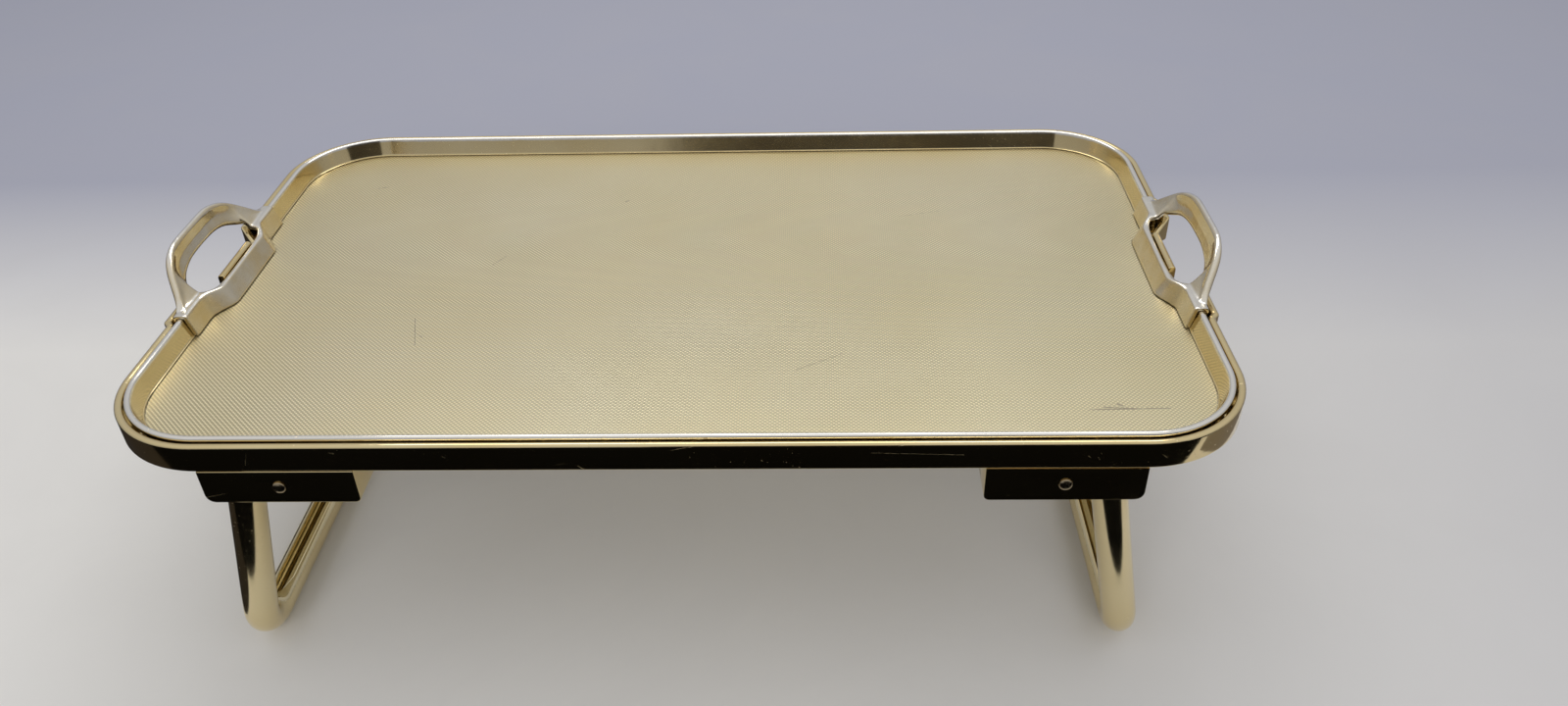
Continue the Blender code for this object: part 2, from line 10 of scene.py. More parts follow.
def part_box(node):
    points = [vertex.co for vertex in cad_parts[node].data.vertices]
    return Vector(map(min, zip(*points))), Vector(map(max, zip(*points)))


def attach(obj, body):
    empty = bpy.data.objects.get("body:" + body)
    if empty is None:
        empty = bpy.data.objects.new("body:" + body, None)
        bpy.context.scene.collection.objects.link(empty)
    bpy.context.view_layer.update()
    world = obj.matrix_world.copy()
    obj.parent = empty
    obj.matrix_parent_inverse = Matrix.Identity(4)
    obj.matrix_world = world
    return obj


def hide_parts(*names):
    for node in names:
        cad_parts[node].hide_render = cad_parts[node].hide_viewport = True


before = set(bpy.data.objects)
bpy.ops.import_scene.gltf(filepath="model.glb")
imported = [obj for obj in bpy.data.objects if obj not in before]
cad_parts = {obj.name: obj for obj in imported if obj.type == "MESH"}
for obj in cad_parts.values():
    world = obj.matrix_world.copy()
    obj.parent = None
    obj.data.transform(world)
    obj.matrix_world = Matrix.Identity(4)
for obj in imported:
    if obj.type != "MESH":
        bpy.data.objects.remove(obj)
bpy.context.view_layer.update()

MM = 0.001
GAP = 0.3

# Places read from the frame.
BAND_LOW, BAND_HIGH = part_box("frame_band")
FLOOR_LOW, FLOOR_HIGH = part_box("tray_floor")
BRACKET_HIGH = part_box("bracket_right_front")[1]

# Sizes are in millimetres and heights are measured from the lip, unless a note says otherwise.
# Frame band.
BAND_HEIGHT = 15.0
JOG_OUT = 3.0
JOG_START = 67.0
JOG_END = 63.5
STEP_OUTER_Y = 42.0
STEP_INNER_Y = 30.0
BAR_FACE_X = 272.6
BAR_HALF = 19.7
BAR_RISE = 2.5
LOW_HALF = 33.5
LOW_DROP = 7.0
CORNER = 57.0
HALF_X = BAND_HIGH.x / MM - JOG_OUT
HALF_Y = BAND_HIGH.y / MM
LIP_TOP = BAND_LOW.z / MM + BAND_HEIGHT
FRAME_SHEET = 1.3
LIP_WIDTH = 3.8
LIP_DEPTH = 2.4
FLANGE_WIDTH = 12.0

# Rim and tray floor.
RIM_OUTER = 4.9
RIM_INNER = 8.0
RIM_FOOT = 10.3
RIM_TOP = 1.4
RIM_SHEET = 1.2
DOT_PITCH = 2.4
DOT_RELIEF = 0.2
FLOOR_TOP = FLOOR_HIGH.z / MM - LIP_TOP
SEAT = FLOOR_LOW.z / MM - LIP_TOP - GAP
OVER = FLOOR_TOP + GAP

# Handles.
HANDLE_HALF = 63.0
CHEEK_X = 269.4
DISH_X = 261.0
DISH_HALF = 27.0
DISH_BLEND = 18.0
DISH_TOP = 1.5
SADDLE_RISE = 1.6
SADDLE_BLEND = 13.0
WALL_LEAN = 4.0
WALL_LEAN_LOST = 1.8
CHEEK_FLARE = 1.9
CHEEK_BLEND = 4.0
OPENING_X = 277.4
OPENING_HALF_X = 9.1
OPENING_HALF_Y = 37.5
GRIP_HALF = 60.0
GRIP_REACH = 13.8
GRIP_RISE = 21.8
GRIP_THICK = 3.4
GRIP_FOOT = (279.3, 3.0)
GRIP_ROUND = 2.35
STRAP_HALF = 58.0
STRAP_FOOT = (274.5, 2.0)
STRAP_ARCH = 42.0
STRAP_ARCH_FOOT = 3.5
STRAP_ARCH_RISE = 8.6
BEAD_HALF = 58.5
BEAD_RADIUS = 1.75
BEAD_SWELL = 0.75
CAST_VOXEL = 0.45
WEB_SMOOTHING = 60
CAST_SMOOTHING = 7

# Legs and brackets.
LEG_TUBE = 17.5
LEG_WALL = 1.2
LEG_SEAM = 8.4
LEG_SEAM_CLOSED = 0.5
LEG_SEAM_RUN = 14.0
LEG_SPLAY = math.radians(11.0)
LEG_HALF_SPAN = 158.0
LEG_BEND = 20.0
PIVOT_X = 188.0
PIVOT_Z = -25.0
PIVOT_OFFSET = 22.0
BRACKET_DEPTH = 24.0
BRACKET_TOP = BRACKET_HIGH.z / MM - LIP_TOP
BRACKET_SHEET = 1.2
RIVET_XS = (160.0, 192.0)
RIVET_INSET = 5.2
TUBE_RIVETS = (-1.0, 8.5)
PLATE_THICK = 2.0
LEG_FOOT_CLEAR = 0.2
TUBE_POINTS = 57
BORE_POINTS = 41

# Rivets: radius of the head and of the shank.
PIVOT_HEAD, PIVOT_SHANK = 3.3, 2.0
FLANGE_HEAD, FLANGE_SHANK = 2.9, 2.0
TUBE_HEAD, TUBE_SHANK = 2.3, 1.3
HEAD_EDGE = 0.25
HEAD_UNDERCUT = 0.93
CROWN_ANGLE = 86.0

# Rounding of the pressed parts' cut edges.
BRACKET_EDGE = 0.4
PLATE_EDGE = 0.3
SPACER_EDGE = 0.25

# Colours of worn metal; the two silvers are partly wear and partly painted highlight on top faces.
BARE_SILVER_AND_SHEEN = (0.92, 0.89, 0.82, 1.0)
WORN_SILVER_AND_SHEEN = (0.88, 0.86, 0.81, 1.0)
PIT_BROWN = (0.30, 0.26, 0.18, 1.0)
SCAR_BROWN = (0.40, 0.35, 0.26, 1.0)

# Camera and stage, in metres and degrees.
CAMERA_YAW, CAMERA_PITCH, CAMERA_ROLL = -2.04, 35.41, -1.59
CAMERA_PLACE = (0.0717, -0.5887, 0.350)
CAMERA_LENS = 27.0
CAMERA_SENSOR = 36.0
FLOOR_SIZE = (9.0, 7.0)
FLOOR_SHIFT = 0.6
FLOOR_Z = -0.0004
CARD_Z = 0.0006

ENDS = ((-1.0, "left"), (1.0, "right"))
FACES = ((-1.0, "front"), (1.0, "back"))


# ------------------------------------------------------------------ materials

def node(tree, kind, inputs=None, **settings):
    """Add a shader node, setting or linking each named input."""
    made = tree.nodes.new(kind)
    for key, value in settings.items():
        setattr(made, key, value)
    for key, value in (inputs or {}).items():
        if isinstance(value, bpy.types.NodeSocket):
            tree.links.new(value, made.inputs[key])
        else:
            made.inputs[key].default_value = value
    return made


def maths(tree, operation, first, second=0.0, third=0.0):
    inputs = {0: first, 1: second, 2: third}
    return node(tree, "ShaderNodeMath", inputs, operation=operation).outputs[0]


def ramp(tree, value, low, high, to_low=0.0, to_high=1.0):
    """Clamped linear remap of a value."""
    inputs = {"Value": value, "From Min": low, "From Max": high,
              "To Min": to_low, "To Max": to_high}
    return node(tree, "ShaderNodeMapRange", inputs).outputs["Result"]


def cloud(tree, where, scale, detail=3.0, rough=0.5, stretch=(1.0, 1.0, 1.0), distort=0.0):
    """Noise value in object space; stretch squeezes the pattern along an axis."""
    if stretch != (1.0, 1.0, 1.0):
        where = node(tree, "ShaderNodeMapping", {"Vector": where, "Scale": stretch}).outputs[0]
    inputs = {"Vector": where, "Scale": scale, "Detail": detail, "Roughness": rough,
              "Distortion": distort}
    return node(tree, "ShaderNodeTexNoise", inputs).outputs["Fac"]


def mix_colour(tree, share, first, second, mode="MIX"):
    made = node(tree, "ShaderNodeMix", data_type="RGBA", blend_type=mode)
    for key, value in ((0, share), (6, first), (7, second)):
        if isinstance(value, bpy.types.NodeSocket):
            tree.links.new(value, made.inputs[key])
        else:
            made.inputs[key].default_value = value
    return made.outputs[2]


def hairlines(tree, where, scale, rotation, share):
    """Sparse straight scratches along one turned axis, kept only in patches."""
    turned_way = node(tree, "ShaderNodeMapping", {"Vector": where, "Rotation": rotation})
    long_way = turned_way.outputs[0]
    line = ramp(tree, cloud(tree, long_way, scale, 1.0, 0.5, (0.02, 1.0, 1.0)), 0.74, 0.79)
    patch = ramp(tree, cloud(tree, long_way, 11.0, 2.0), 0.66 - share * 0.4,
                 0.72 - share * 0.4)
    return maths(tree, "MULTIPLY", line, patch)


def mark(tree, where, start, end, width, wobble=0.0006, scale=60.0):
    """One scratch between two points, its edge broken up by noise."""
    start, end = Vector(start) * MM, Vector(end) * MM
    along = end - start
    length = along.length
    away = node(tree, "ShaderNodeVectorMath", {0: where, 1: start}, operation="SUBTRACT")
    share = node(tree, "ShaderNodeVectorMath",
                 {0: away.outputs[0], 1: along / (length * length)}, operation="DOT_PRODUCT")
    held = node(tree, "ShaderNodeClamp", {"Value": share.outputs["Value"]}).outputs[0]
    near = node(tree, "ShaderNodeVectorMath", {0: along, "Scale": held}, operation="SCALE")
    gap = node(tree, "ShaderNodeVectorMath", {0: away.outputs[0], 1: near.outputs[0]},
               operation="DISTANCE").outputs["Value"]
    noise = cloud(tree, where, scale * 8.0, 3.0)
    gap = maths(tree, "ADD", gap, maths(tree, "MULTIPLY", noise, wobble))
    middle = wobble * 0.5
    return ramp(tree, gap, middle + width, middle + width * 0.3)


def add_up(tree, values):
    total = values[0]
    for value in values[1:]:
        total = maths(tree, "MAXIMUM", total, value)
    return total


def new_metal(name):
    material = bpy.data.materials.new(name)
    material.use_nodes = True
    tree = material.node_tree
    shader = tree.nodes["Principled BSDF"]
    shader.inputs["Metallic"].default_value = 1.0
    where = node(tree, "ShaderNodeTexCoord").outputs["Object"]
    return material, tree, shader, where


def finish_metal(tree, shader, colour, gloss, height, distance, strength=1.0):
    tree.links.new(colour, shader.inputs["Base Color"])
    tree.links.new(gloss, shader.inputs["Roughness"])
    bump = node(tree, "ShaderNodeBump",
                {"Height": height, "Distance": distance, "Strength": strength})
    tree.links.new(bump.outputs["Normal"], shader.inputs["Normal"])


def anodised(name, light, deep, gloss, spread, grain=(1.0, 1.0, 1.0), marks=(), share=0.3,
             bare_and_sheen_above=None):
    """Bright anodised sheet: slow tone changes, drawn grain, handling haze and scratches.
    Above a given height its colour turns silver: partly rubbed-off wear, partly a painted highlight
    on the top."""
    material, tree, shader, where = new_metal(name)
    tone = ramp(tree, cloud(tree, where, 14.0, 4.0), 0.32, 0.68)
    colour = mix_colour(tree, tone, light, deep)
    specks = ramp(tree, cloud(tree, where, 420.0, 2.0, 0.7), 0.72, 0.80)
    drawn = cloud(tree, where, 260.0, 3.0, 0.6, grain)
    haze = ramp(tree, cloud(tree, where, 30.0, 5.0, 0.65), 0.35, 0.75)
    lines = add_up(tree, [hairlines(tree, where, 900.0, (0.0, 0.22, 0.0), share),
                          hairlines(tree, where, 1100.0, (0.0, -0.7, 0.0), share),
                          hairlines(tree, where, 900.0, (0.25, 0.0, 1.571), share)]
                   + [mark(tree, where, *spot) for spot in marks])
    if bare_and_sheen_above is not None:
        # Painted highlight and wear: above a set height the colour turns silver.
        height = node(tree, "ShaderNodeSeparateXYZ", {0: where}).outputs["Z"]
        wear_and_sheen_mask = maths(tree, "MULTIPLY_ADD", cloud(tree, where, 120.0, 3.0), 0.0011, height)
        bare_and_sheen = ramp(tree, wear_and_sheen_mask, bare_and_sheen_above * MM, (bare_and_sheen_above + 0.7) * MM)
        colour = mix_colour(tree, bare_and_sheen, colour, BARE_SILVER_AND_SHEEN)
    tarnish = tuple(c * 0.55 for c in deep[:3]) + (1.0,)
    colour = mix_colour(tree, maths(tree, "MULTIPLY", specks, 0.5), colour, tarnish)
    worn = tuple(min(1.0, c * 1.08 + 0.06) for c in light[:3]) + (1.0,)
    colour = mix_colour(tree, maths(tree, "MULTIPLY", lines, 0.6), colour, worn)
    rough = ramp(tree, haze, 0.0, 1.0, gloss - spread, gloss + spread)
    rough = maths(tree, "MULTIPLY_ADD", lines, 0.22, rough)
    rough = maths(tree, "MULTIPLY_ADD", specks, 0.12, rough)
    height = maths(tree, "MULTIPLY", drawn, 0.25)
    height = maths(tree, "MULTIPLY_ADD", cloud(tree, where, 55.0, 2.0), 1.1, height)
    height = maths(tree, "MULTIPLY_ADD", lines, -0.5, height)
    finish_metal(tree, shader, colour, rough, height, 0.00006)
    return material


def cast_metal(name, light, deep):
    """Cast handle: hand polished, gently uneven, silver where it faces up, partly rubbed wear and
    partly a painted highlight.
    """
    material, tree, shader, where = new_metal(name)
    rubbed = ramp(tree, cloud(tree, where, 45.0, 4.0, 0.6), 0.38, 0.66)
    colour = mix_colour(tree, rubbed, light, deep)
    # Painted highlight and wear: faces that look upward turn silver.
    facing = node(tree, "ShaderNodeTexCoord").outputs["Normal"]
    upward = node(tree, "ShaderNodeSeparateXYZ", {0: facing}).outputs["Z"]
    wear_and_sheen_mask = maths(tree, "MULTIPLY_ADD", cloud(tree, where, 90.0, 3.0), 0.3, upward)
    worn = ramp(tree, wear_and_sheen_mask, 0.80, 1.08, 0.0, 0.85)
    colour = mix_colour(tree, worn, colour, WORN_SILVER_AND_SHEEN)
    pits = ramp(tree, cloud(tree, where, 700.0, 2.0, 0.6), 0.73, 0.80)
    colour = mix_colour(tree, maths(tree, "MULTIPLY", pits, 0.6), colour, PIT_BROWN)
    lines = add_up(tree, [hairlines(tree, where, 1200.0, (0.0, 0.5, 1.2), 0.35),
                          hairlines(tree, where, 1000.0, (0.4, 0.2, 1.7), 0.35)])
    haze = cloud(tree, where, 60.0, 5.0, 0.6)
    rough = ramp(tree, haze, 0.3, 0.75, 0.09, 0.22)
    rough = maths(tree, "MULTIPLY_ADD", lines, 0.15, rough)
    rough = maths(tree, "MULTIPLY_ADD", pits, 0.2, rough)
    height = maths(tree, "MULTIPLY", cloud(tree, where, 90.0, 2.0), 1.6)
    height = maths(tree, "MULTIPLY_ADD", cloud(tree, where, 500.0, 3.0), 0.16, height)
    height = maths(tree, "MULTIPLY_ADD", maths(tree, "ADD", pits, lines), -0.3, height)
    finish_metal(tree, shader, colour, rough, height, 0.0001)
    return material


def embossed_floor(name, light, deep):
    """Satin sheet pressed with staggered rows of small raised dots, with painted shade in the
    hollows between them.
    """
    material, tree, shader, where = new_metal(name)
    parts = node(tree, "ShaderNodeSeparateXYZ", {0: where})
    turn = 2.0 * math.pi / (DOT_PITCH * MM)
    wave_x = maths(tree, "COSINE", maths(tree, "MULTIPLY", parts.outputs["X"], turn))
    wave_y = maths(tree, "COSINE", maths(tree, "MULTIPLY", parts.outputs["Y"], turn))
    dots = maths(tree, "MULTIPLY", wave_x, wave_y)
    raised = ramp(tree, dots, -0.15, 0.9)
    tone = ramp(tree, cloud(tree, where, 7.0, 4.0), 0.3, 0.7)
    colour = mix_colour(tree, tone, light, deep)
    # Painted shade: the hollows between the dots are darkened.
    valley_shade = tuple(c * 0.3 for c in deep[:3]) + (1.0,)
    colour = mix_colour(tree, ramp(tree, raised, 0.0, 0.8, 0.58, 0.0), colour, valley_shade)
    marks = (((204.0, -132.6, FLOOR_TOP), (244.0, -131.6, FLOOR_TOP), 0.0005, 0.0011),
             ((212.0, -130.6, FLOOR_TOP), (228.0, -131.9, FLOOR_TOP), 0.0004, 0.0010),
             ((219.0, -128.0, FLOOR_TOP), (221.0, -129.4, FLOOR_TOP), 0.0007),
             ((-153.0, -47.0, FLOOR_TOP), (-146.0, -73.0, FLOOR_TOP), 0.00028, 0.0007),
             ((-150.0, -60.0, FLOOR_TOP), (-143.5, -66.0, FLOOR_TOP), 0.00022, 0.0006),
             ((-122.0, 10.0, FLOOR_TOP), (-116.0, 20.0, FLOOR_TOP), 0.00028),
             ((-52.5, 87.5, FLOOR_TOP), (-50.5, 89.5, FLOOR_TOP), 0.0006),
             ((-221.0, 110.0, FLOOR_TOP), (-215.0, 112.0, FLOOR_TOP), 0.00025),
             ((60.0, -98.0, FLOOR_TOP), (84.0, -84.0, FLOOR_TOP), 0.00018),
             ((122.0, 64.0, FLOOR_TOP), (149.0, 71.0, FLOOR_TOP), 0.00018))
    lift = Vector((0.0, 0.0, LIP_TOP))
    scars = add_up(tree, [mark(tree, where, Vector(m[0]) + lift, Vector(m[1]) + lift, *m[2:])
                          for m in marks])
    colour = mix_colour(tree, scars, colour, SCAR_BROWN)
    haze = ramp(tree, cloud(tree, where, 12.0, 5.0, 0.6), 0.35, 0.7)
    rough = ramp(tree, haze, 0.0, 1.0, 0.29, 0.37)
    rough = maths(tree, "MULTIPLY_ADD", scars, 0.25, rough)
    height = maths(tree, "MULTIPLY_ADD", scars, -0.9, raised)
    finish_metal(tree, shader, colour, rough, height, DOT_RELIEF * MM)
    return material


def dull_metal(name, light, deep, gloss):
    """Plain working metal: hinge plates, spacers and rivets; also the dark painted shade on hidden
    inner faces.
    """
    material, tree, shader, where = new_metal(name)
    tone = ramp(tree, cloud(tree, where, 160.0, 5.0, 0.65), 0.3, 0.7)
    colour = mix_colour(tree, tone, light, deep)
    brushed = cloud(tree, where, 900.0, 2.0, 0.5, (1.0, 1.0, 0.08))
    rough = ramp(tree, cloud(tree, where, 240.0, 4.0), 0.3, 0.7, gloss - 0.08, gloss + 0.1)
    height = maths(tree, "MULTIPLY_ADD", tone, 0.6, brushed)
    finish_metal(tree, shader, colour, rough, height, 0.00003)
    return material


def make_materials():
    gold = (0.86, 0.72, 0.42, 1.0)
    gold_deep = (0.78, 0.62, 0.32, 1.0)
    z = LIP_TOP
    front = -HALF_Y
    band_marks = (((-198.0, front, z - 4.0), (-200.5, front, z - 11.0), 0.00035),
                  ((-158.5, front, z - 3.4), (-156.5, front, z - 4.2), 0.0006),
                  ((-105.5, front, z - 6.0), (-104.0, front, z - 6.9), 0.0006),
                  ((96.0, front, z - 5.2), (139.0, front, z - 6.7), 0.00022, 0.0004))
    return {
        "band": anodised("band_gold", gold, gold_deep, 0.10, 0.035, (0.05, 0.05, 1.0),
                         band_marks, 0.36),
        # The rim's top is painted silver, partly wear and partly painted highlight.
        "rim": anodised("rim_gold", gold, gold_deep, 0.12, 0.04, (0.05, 0.05, 1.0),
                        bare_and_sheen_above=LIP_TOP + RIM_TOP - 1.5),
        "bracket": anodised("bracket_gold", gold, gold_deep, 0.10, 0.03, (0.06, 1.0, 1.0)),
        "leg": anodised("leg_gold", (0.86, 0.74, 0.46, 1.0), (0.80, 0.66, 0.37, 1.0),
                        0.14, 0.04, (1.0, 0.3, 0.05)),
        "floor": embossed_floor("floor_gold", (0.92, 0.84, 0.60, 1.0),
                                (0.88, 0.78, 0.50, 1.0)),
        "cast": cast_metal("cast_metal", (0.84, 0.75, 0.56, 1.0), (0.80, 0.65, 0.38, 1.0)),
        "plate": dull_metal("plate_metal", (0.52, 0.50, 0.46, 1.0),
                            (0.40, 0.38, 0.34, 1.0), 0.36),
        "rivet": dull_metal("rivet_metal", (0.46, 0.38, 0.25, 1.0),
                            (0.30, 0.24, 0.15, 1.0), 0.22),
        # Painted shade: a dark dull finish on inner, back and seated faces stands for the shade in
        # gaps and hollows.
        "inside": dull_metal("inside_painted_shade", (0.30, 0.23, 0.11, 1.0),
                             (0.18, 0.13, 0.06, 1.0), 0.42),
    }


# ------------------------------------------------------------------ mesh tools

def filleted(corners, closed=True, turn=4.0):
    """Round every (x, y, radius) corner of an outline with an arc of that radius."""
    out = []
    total = len(corners)
    for i, (x, y, radius) in enumerate(corners):
        here = Vector((x, y))
        if radius <= 0.0 or (not closed and i in (0, total - 1)):
            out.append(here)
            continue
        back = (Vector(corners[i - 1][:2]) - here).normalized()
        ahead = (Vector(corners[(i + 1) % total][:2]) - here).normalized()
        half = back.angle(ahead) / 2.0
        centre = here + (back + ahead).normalized() * (radius / math.sin(half))
        first = here + back * (radius / math.tan(half)) - centre
        last = here + ahead * (radius / math.tan(half)) - centre
        start = math.atan2(first.y, first.x)
        sweep = math.atan2(last.y, last.x) - start
        sweep = (sweep + math.pi) % (2.0 * math.pi) - math.pi
        steps = max(2, math.ceil(abs(math.degrees(sweep)) / turn))
        for k in range(steps + 1):
            angle = start + sweep * k / steps
            out.append(centre + radius * Vector((math.cos(angle), math.sin(angle))))
    return out


def inward(path, closed=True):
    """Mitred inward normals of an anticlockwise plan path."""
    normals = []
    total = len(path)
    for i, here in enumerate(path):
        ahead = path[(i + 1) % total] - here
        back = here - path[i - 1]
        if not closed and i == 0:
            back = ahead
        if not closed and i == total - 1:
            ahead = back
        left_a = Vector((-ahead.y, ahead.x)).normalized()
        left_b = Vector((-back.y, back.x)).normalized()
        middle = (left_a + left_b).normalized()
        normals.append(middle / max(0.3, middle.dot(left_a)))
    return normals


def smooth_step(value):
    value = min(1.0, max(0.0, value))
    return value * value * (3.0 - 2.0 * value)


def arc(centre, radii, start, end, steps):
    """Points of an elliptic arc in a section, angles in degrees."""
    points = []
    for k in range(steps + 1):
        angle = math.radians(start + (end - start) * k / steps)
        points.append((centre[0] + radii[0] * math.cos(angle),
                       centre[1] + radii[1] * math.sin(angle)))
    return points


def loft(rings, ring_loop=False, hidden=()):
    """Skin equal rings of millimetre points; the row is closed or capped at both ends.
    Section edges listed as hidden take the piece's second material, the dark painted shade."""
    bm = bmesh.new()
    lift = Vector((0.0, 0.0, LIP_TOP))
    rows = [[bm.verts.new((point + lift) * MM) for point in ring] for ring in rings]
    count = len(rows[0])
    pairs = list(zip(rows, rows[1:]))
    if ring_loop:
        pairs.append((rows[-1], rows[0]))
    for first, second in pairs:
        for k in range(count):
            n = (k + 1) % count
            face = bm.faces.new((first[k], first[n], second[n], second[k]))
            face.material_index = 1 if k in hidden else 0
    if not ring_loop:
        bm.faces.new(list(reversed(rows[0])))
        bm.faces.new(rows[-1])
    bmesh.ops.recalc_face_normals(bm, faces=bm.faces)
    return bm


def mesh_object(name, bm):
    mesh = bpy.data.meshes.new(name)
    bm.to_mesh(mesh)
    bm.free()
    made = bpy.data.objects.new(name, mesh)
    bpy.context.scene.collection.objects.link(made)
    return made


def apply_modifiers(piece):
    bpy.context.view_layer.update()
    graph = bpy.context.evaluated_depsgraph_get()
    result = bpy.data.meshes.new_from_object(piece.evaluated_get(graph))
    piece.modifiers.clear()
    piece.data = result


def dress(piece, paints, body, nodes, crease=32.0):
    """Shade, paint and mount a finished piece in place of its CAD nodes."""
    piece.data.polygons.foreach_set("use_smooth", [True] * len(piece.data.polygons))
    piece.data.set_sharp_from_angle(angle=math.radians(crease))
    piece.data.materials.clear()
    for paint in paints:
        piece.data.materials.append(paint)
    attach(piece, body)
    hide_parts(*nodes)
    return piece


# ------------------------------------------------------------------ frame and tray

def band_outline():
    jog_x = HALF_X + JOG_OUT
    slope = (jog_x - BAR_FACE_X) / (STEP_OUTER_Y - STEP_INNER_Y)
    lower = [
        (HALF_X, -HALF_Y, CORNER),
        (HALF_X, -JOG_START, 3.0),
        (jog_x, -JOG_END, 3.0),
        (jog_x, -STEP_OUTER_Y, 4.0),
        (BAR_FACE_X + slope * (LOW_HALF - STEP_INNER_Y), -LOW_HALF, 0.0),
        (BAR_FACE_X, -STEP_INNER_Y, 4.0),
        (BAR_FACE_X, -BAR_HALF - 0.5, 0.0),
        (BAR_FACE_X, -BAR_HALF - 0.15, 0.0),
        (BAR_FACE_X, -BAR_HALF, 0.0),
        (BAR_FACE_X, -BAR_HALF + 0.5, 0.0),
    ]
    right = lower + [(x, -y, r) for x, y, r in reversed(lower)]
    return filleted(right + [(-x, -y, r) for x, y, r in right])


def lip_rise(point):
    """Height of the lip along the band against its usual level."""
    reach = abs(point.y)
    if reach > STEP_OUTER_Y + 2.0 or abs(point.x) < DISH_X:
        return 0.0
    if reach < BAR_HALF + 0.1:
        edge = max(0.0, reach - BAR_HALF + 0.5) / 0.5
        return BAR_RISE - 0.45 * edge * edge
    return -LOW_DROP * (1.0 - smooth_step((reach - LOW_HALF) / 5.0))


def band_section(rise):
    half = LIP_WIDTH / 2.0
    top = arc((half, rise - 1.25), (half, 1.25), 180.0, 0.0, 10)
    hem = arc((0.55, -BAND_HEIGHT + 0.55), (0.55, 0.55), 270.0, 180.0, 4)
    shown = hem + [(0.0, rise - 1.5)] + top
    return shown, [
        (LIP_WIDTH, rise - LIP_DEPTH + 0.3),
        (LIP_WIDTH - 0.3, rise - LIP_DEPTH),
        (FRAME_SHEET, rise - LIP_DEPTH),
        (FRAME_SHEET, -BAND_HEIGHT + FRAME_SHEET),
        (FLANGE_WIDTH - 0.3, -BAND_HEIGHT + FRAME_SHEET),
        (FLANGE_WIDTH, -BAND_HEIGHT + FRAME_SHEET - 0.3),
        (FLANGE_WIDTH, -BAND_HEIGHT + 0.3),
        (FLANGE_WIDTH - 0.3, -BAND_HEIGHT),
    ]


def build_band(materials):
    path = band_outline()
    rings = []
    for point, normal in zip(path, inward(path)):
        shown, inner = band_section(lip_rise(point))
        ring = []
        for inset, z in shown + inner:
            flat = point + normal * inset
            ring.append(Vector((flat.x, flat.y, z)))
        rings.append(ring)
    # The band's inner faces take the dark painted shade.
    hidden = range(len(shown), len(shown) + 4)
    piece = mesh_object("band", loft(rings, ring_loop=True, hidden=hidden))
    return dress(piece, (materials["band"], materials["inside"]), "frame",
                 ["frame_band"], 28.0)


def rim_section():
    """Rounded top and sloping wall of the rim, then its folded back and floor seat."""
    middle = (RIM_OUTER + RIM_INNER) / 2.0
    half = (RIM_INNER - RIM_OUTER) / 2.0
    top = arc((middle, RIM_TOP - 1.0), (half, 1.0), 180.0, 0.0, 10)
    foot = [(RIM_FOOT + 0.35, OVER + 1.4), (RIM_FOOT + 0.5, OVER + 0.8),
            (RIM_FOOT + 0.75, OVER + 0.4), (RIM_FOOT + 1.1, OVER + 0.25), (RIM_FOOT + 1.15, OVER)]
    shown = [(RIM_OUTER, RIM_TOP - 3.4)] + top + [(RIM_INNER + 0.1, RIM_TOP - 1.5)] + foot
    return shown, [
        (RIM_FOOT - 0.3, OVER), (RIM_FOOT - 0.3, SEAT), (RIM_FOOT + 3.7, SEAT),
        (RIM_FOOT + 3.7, SEAT - RIM_SHEET), (RIM_FOOT - 0.3, SEAT - RIM_SHEET),
        (RIM_FOOT - 0.3, -BAND_HEIGHT + FRAME_SHEET + GAP),
        (RIM_FOOT - 1.5, -BAND_HEIGHT + FRAME_SHEET + GAP), (RIM_FOOT - 1.5, OVER),
        (RIM_INNER - RIM_SHEET, RIM_TOP - 1.8), (RIM_OUTER + RIM_SHEET, RIM_TOP - 1.8),
        (RIM_OUTER + RIM_SHEET, RIM_TOP - 3.4),
    ]


def build_rim(side, name, materials):
    end = HANDLE_HALF + GAP
    corners = [(-HALF_X, -end, 0.0), (-HALF_X, -HALF_Y, CORNER), (0.0, -HALF_Y, 0.0),
               (HALF_X, -HALF_Y, CORNER), (HALF_X, -end, 0.0)]
    path = filleted(corners, closed=False)
    shown, back = rim_section()
    rings = []
    for point, normal in zip(path, inward(path, closed=False)):
        ring = []
        for inset, z in shown + back:
            flat = (point + normal * inset) * -side
            ring.append(Vector((flat.x, flat.y, z)))
        rings.append(ring)
    # The rim's back faces take the dark painted shade.
    hidden = (len(shown) - 1, len(shown)) + tuple(range(len(shown) + 6, len(shown) + 11))
    piece = mesh_object(name + "_moulding", loft(rings, hidden=hidden))
    return dress(piece, (materials["rim"], materials["inside"]), "tray", [name],
                 28.0)


# ------------------------------------------------------------------ handles

def foot_x(y):
    blend = smooth_step((abs(y) - DISH_HALF) / DISH_BLEND)
    return DISH_X + (CHEEK_X - DISH_X) * blend


def opening_reach(y, power=3.8):
    """Half width of the finger opening; a lower power rounds its corners more."""
    share = min(1.0, abs(y) / OPENING_HALF_Y)
    return OPENING_HALF_X * (1.0 - share ** power) ** (1.0 / power)


